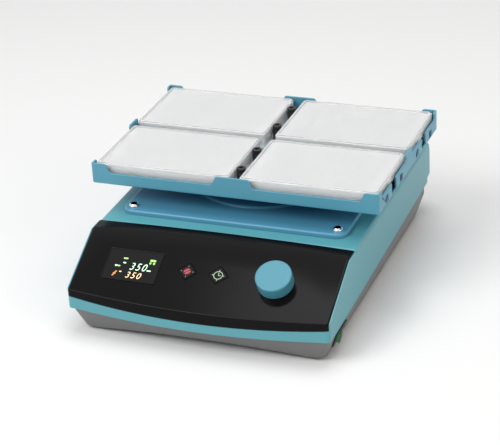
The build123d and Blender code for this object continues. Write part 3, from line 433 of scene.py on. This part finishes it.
# Drive and boards inside the housing
# Plain machined, turned and moulded pieces, which show only through the vents.
board_green = finish("board_green", (0.02, 0.13, 0.06), 0.45)
belt_rubber = finish("belt_rubber", (0.02, 0.02, 0.02), 0.75, relief=0.3)
motor_paint = finish("motor_paint", (0.04, 0.04, 0.045), 0.4)
cast_alloy = finish(
    "cast_alloy", (0.6, 0.6, 0.61), 0.42, relief=0.2, shader_values={"Metallic": 1.0}
)
turned_brass = finish(
    "turned_brass", (0.72, 0.52, 0.22), 0.3, shader_values={"Metallic": 1.0}
)
for inner_node, inner_finish in (
    ("display_module", black_plastic), ("control_board", board_green),
    ("key_switches", black_plastic), ("encoder_body", black_plastic),
    ("power_supply", board_green), ("drive_chassis", inner_steel),
    ("bearing_housing", cast_alloy), ("idler_bearings", turned_brass),
    ("drive_motor", motor_paint), ("motor_rotor", inner_steel), ("drive_belt", belt_rubber),
    ("eccentric_shaft", inner_steel), ("drive_pulley", cast_alloy),
    ("counterweight", inner_steel), ("idler_crank_1", inner_steel),
    ("idler_crank_2", inner_steel), ("idler_crank_3", inner_steel), ("orbit_frame", cast_alloy),
):
    dress(inner_node, inner_finish)

# Table
# A cast hub comes up through the deck, with a painted guard over the deck's throat, and carries
# the painted table plate under the tray.
dress("table_hub", cast_alloy, edge=0.0004)
dress("splash_guard", deck_paint, edge=0.0003)
dress("table_plate", deck_paint, edge=0.0006)

# Tray
# One folded and painted sheet: a floor and four low walls, with a window for each plate in every
# wall and narrow slots for the clamp springs.
tray_paint = finish("tray_paint", (0.080, 0.310, 0.425), 0.36, grain=700.0, relief=0.06)
dress("tray", tray_paint, edge=0.0004)

# Posts
# Black sleeves between the plates, each with a socket screw through the tray into the table.
black_steel = finish(
    "black_steel", (0.03, 0.028, 0.028), 0.38, relief=0.1, shader_values={"Metallic": 0.6}
)
dress("post_sleeves", black_plastic, edge=0.0003)
dress("post_screws", black_steel, edge=0.0003)

# Clamp springs
# Blue-black leaf springs threaded through two slots of the wall, bowed in against the plate.
spring_blue = finish(
    "spring_blue", (0.03, 0.07, 0.16), 0.32, shader_values={"Metallic": 0.5}
)
for number in (1, 2, 3, 4):
    dress(f"clamp_spring_{number}", spring_blue)

# Microplates
# White polystyrene plates with a flange round the foot, ribbed side walls, and twelve by eight
# round wells, each with its own raised rim.
plate_white = finish("plate_white", (0.86, 0.865, 0.87), 0.35, relief=0.04)
well_pitch = 0.009
well_columns, well_rows = 12, 8
well_radius = 0.0033
rim_radius = 0.0038
rim_height = 0.0004
well_depth = 0.0106
well_sides = 16
plate_step = 0.0019
plate_flange = 0.0025
plate_border = 0.0016
corner_radius = 0.0030
rim_taper = 0.98
well_taper = 0.96
rib_pitch = 0.0045
rib_radius = 0.0006
rib_sink = 0.0004
rib_end_gap = 0.0040
rib_foot_gap = 0.0004
rib_top_gap = 0.0012


def grow_ring(shape, edges, scale, rise):
    """Carries a loop on to a new place: scaled in X and Y, then lifted."""
    made = bmesh.ops.extrude_edge_only(shape, edges=edges)["geom"]
    verts = {item for item in made if isinstance(item, bmesh.types.BMVert)}
    bmesh.ops.scale(shape, vec=(scale[0], scale[1], 1), verts=list(verts))
    bmesh.ops.translate(shape, vec=(0, 0, rise), verts=list(verts))
    return [
        item for item in made
        if isinstance(item, bmesh.types.BMEdge) and all(vert in verts for vert in item.verts)
    ]


def well_cell():
    """One square of the plate's top with its rim and its round well, about the origin."""
    cell = bmesh.new()
    bmesh.ops.create_circle(cell, segments=well_sides, radius=rim_radius)
    foot = cell.edges[:]
    bmesh.ops.create_circle(
        cell, segments=4, radius=well_pitch / math.sqrt(2),
        matrix=Matrix.Rotation(math.radians(45), 4, "Z"),
    )
    bmesh.ops.bridge_loops(cell, edges=cell.edges[:])
    outside = grow_ring(cell, foot, (rim_taper, rim_taper), rim_height)
    inward = well_radius / (rim_radius * rim_taper)
    mouth = grow_ring(cell, outside, (inward, inward), 0.0)
    floor_loop = grow_ring(cell, mouth, (well_taper, well_taper), -well_depth)
    bmesh.ops.contextual_create(cell, geom=floor_loop)
    return cell


def rounded_loop(shape, length, width, height):
    """A rectangle with round corners, as a loop of edges."""
    start = set(shape.verts)
    bmesh.ops.create_circle(
        shape, cap_ends=True, segments=4, radius=math.sqrt(0.5),
        matrix=Matrix.Translation((0, 0, height)) @ Matrix.Diagonal((length, width, 1, 1))
        @ Matrix.Rotation(math.radians(45), 4, "Z"),
    )
    corners = [vert for vert in shape.verts if vert not in start]
    bmesh.ops.bevel(
        shape, geom=corners, offset=corner_radius, segments=4, profile=0.5, material=-1,
        affect="VERTICES",
    )
    face = next(
        face for face in shape.faces if all(vert not in start for vert in face.verts)
    )
    edges = face.edges[:]
    bmesh.ops.delete(shape, geom=[face], context="FACES_ONLY")
    return edges


def plate_shape(low, high):
    """The whole plate: wells, border, side wall, flange and ribs."""
    length, width, height = high - low
    upper_length, upper_width = length - 2 * plate_step, width - 2 * plate_step
    deck = height - rim_height
    cell = well_cell()
    cell_mesh = bpy.data.meshes.new("well_cell")
    cell.to_mesh(cell_mesh)
    cell.free()
    shape = bmesh.new()
    for column in range(well_columns):
        for row in range(well_rows):
            shape.from_mesh(cell_mesh)
            shape.verts.ensure_lookup_table()
            fresh = shape.verts[-len(cell_mesh.vertices):]
            bmesh.ops.translate(shape, verts=fresh, vec=(
                (column - (well_columns - 1) / 2) * well_pitch,
                (row - (well_rows - 1) / 2) * well_pitch, deck,
            ))
    bpy.data.meshes.remove(cell_mesh)
    bmesh.ops.remove_doubles(shape, verts=shape.verts, dist=1e-6)
    border = [edge for edge in shape.edges if edge.is_boundary]
    inner_length = upper_length - 2 * plate_border
    inner_width = upper_width - 2 * plate_border
    inner = rounded_loop(shape, inner_length, inner_width, deck)
    bmesh.ops.bridge_loops(shape, edges=border + inner)
    crest = grow_ring(shape, inner, (1.0, 1.0), rim_height)
    top = grow_ring(
        shape, crest, (upper_length / inner_length, upper_width / inner_width), 0.0
    )
    wall = grow_ring(shape, top, (1.0, 1.0), plate_flange - height)
    step = grow_ring(shape, wall, (length / upper_length, width / upper_width), 0.0)
    foot = grow_ring(shape, step, (1.0, 1.0), -plate_flange)
    bmesh.ops.contextual_create(shape, geom=foot)
    bmesh.ops.recalc_face_normals(shape, faces=shape.faces)
    rib_low, rib_high = plate_flange + rib_foot_gap, height - rib_top_gap
    for side in (-1, 1):
        for span, reach, turned in (
            (upper_length, upper_width, False), (upper_width, upper_length, True)
        ):
            count = int((span - 2 * rib_end_gap) / rib_pitch)
            for index in range(count):
                along = (index - (count - 1) / 2) * rib_pitch
                out = side * (reach / 2 - rib_sink)
                place = (out, along) if turned else (along, out)
                bmesh.ops.create_cone(
                    shape, cap_ends=True, segments=8, radius1=rib_radius, radius2=rib_radius,
                    depth=rib_high - rib_low,
                    matrix=Matrix.Translation((*place, (rib_low + rib_high) / 2)),
                )
    bmesh.ops.translate(
        shape, vec=((low.x + high.x) / 2, (low.y + high.y) / 2, low.z), verts=shape.verts
    )
    return shape


for number in (1, 2, 3, 4):
    node = f"microplate_{number}"
    plate_low, plate_high = (Vector(corner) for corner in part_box(node))
    show(f"{node}_shown", plate_shape(plate_low, plate_high), plate_white, body_of[node],
         [node])

# Lids
# Thin clear polystyrene lids, slightly frosted, with a skirt outside the plate's wall and a low
# rim round the top for stacking.
lid_clear = finish(
    "lid_clear", (0.96, 0.965, 0.97), 0.16, relief=0.10, spread=0.02, grain=500.0,
    shader_values={"Transmission Weight": 0.6, "IOR": 1.40},
)
for number in (1, 2, 3, 4):
    dress(f"plate_lid_{number}", lid_clear, edge=0.0004)

# Camera
# It stands where the photograph was taken from, with a long lens and a small roll.
view_azimuth = math.radians(21.69)
view_elevation = math.radians(26.67)
view_roll = math.radians(-3.30)
camera_place = Vector((0.57186, -1.45748, 0.83209))
film_width = 36.0
focal_length = 1908.7 / 500.0 * film_width
back = Vector((
    math.sin(view_azimuth) * math.cos(view_elevation),
    -math.cos(view_azimuth) * math.cos(view_elevation),
    math.sin(view_elevation),
))
right = (-back).cross(Vector((0, 0, 1))).normalized()
upward = right.cross(-back)
rolled_right = right * math.cos(view_roll) + upward * math.sin(view_roll)
rolled_up = upward * math.cos(view_roll) - right * math.sin(view_roll)
lens = bpy.data.cameras.new("camera")
lens.sensor_fit = "HORIZONTAL"
lens.sensor_width = film_width
lens.lens = focal_length
lens.clip_start = 0.05
camera = bpy.data.objects.new("camera", lens)
turn = Matrix((rolled_right, rolled_up, back)).transposed()
camera.matrix_world = Matrix.Translation(camera_place) @ turn.to_4x4()
bpy.context.scene.collection.objects.link(camera)
bpy.context.scene.camera = camera

# Studio
# A white floor, a pale surround, a large soft light above the front left and weaker ones at the
# right and overhead.
floor_reach = 6.0
sky_on_object = 0.4
floor_shape = bmesh.new()
bmesh.ops.create_grid(floor_shape, x_segments=1, y_segments=1, size=floor_reach)
floor_mesh = bpy.data.meshes.new("floor")
floor_shape.to_mesh(floor_mesh)
floor_shape.free()
floor = bpy.data.objects.new("floor", floor_mesh)
bpy.context.scene.collection.objects.link(floor)
floor_paint = bpy.data.materials.new("floor_paint")
floor_paint.use_nodes = True
floor_shader = floor_paint.node_tree.nodes["Principled BSDF"]
floor_shader.inputs["Base Color"].default_value = (0.84, 0.84, 0.84, 1.0)
floor_shader.inputs["Roughness"].default_value = 0.8
floor_mesh.materials.append(floor_paint)

world = bpy.data.worlds.new("studio")
world.use_nodes = True
bpy.context.scene.world = world
world_nodes, world_links = world.node_tree.nodes, world.node_tree.links
sky = world_nodes["Background"]
sky.inputs["Color"].default_value = (1.0, 1.0, 1.0, 1.0)
ray = world_nodes.new("ShaderNodeLightPath")
seen = math_node(world_nodes, "MAXIMUM")
world_links.new(ray.outputs["Is Camera Ray"], seen.inputs[0])
world_links.new(ray.outputs["Is Transmission Ray"], seen.inputs[1])
level = world_nodes.new("ShaderNodeMapRange")
level.inputs["To Min"].default_value = sky_on_object
level.inputs["To Max"].default_value = 1.0
bright = math_node(world_nodes, "MAXIMUM")
world_links.new(seen.outputs[0], bright.inputs[0])
world_links.new(ray.outputs["Is Glossy Ray"], bright.inputs[1])
world_links.new(bright.outputs[0], level.inputs["Value"])
world_links.new(level.outputs["Result"], sky.inputs["Strength"])


def soft_light(name, place, target, size, watts, colour=(1.0, 1.0, 1.0)):
    """A square area light turned towards a point."""
    lamp = bpy.data.lights.new(name, "AREA")
    lamp.shape = "SQUARE"
    lamp.size = size
    lamp.energy = watts
    lamp.color = colour
    holder = bpy.data.objects.new(name, lamp)
    aim = (Vector(target) - Vector(place)).to_track_quat("-Z", "Y")
    holder.matrix_world = Matrix.Translation(place) @ aim.to_matrix().to_4x4()
    bpy.context.scene.collection.objects.link(holder)


soft_light("key", (-0.9, -1.3, 1.5), (0.0, 0.0, 0.06), 1.1, 25.0)
soft_light("side", (1.5, -0.5, 0.9), (0.0, 0.0, 0.06), 0.9, 6.0, (1.0, 0.93, 0.84))
soft_light("top", (0.1, 0.2, 1.9), (0.0, 0.0, 0.1), 1.2, 15.0)

scene = bpy.context.scene
scene.view_settings.view_transform = "Standard"
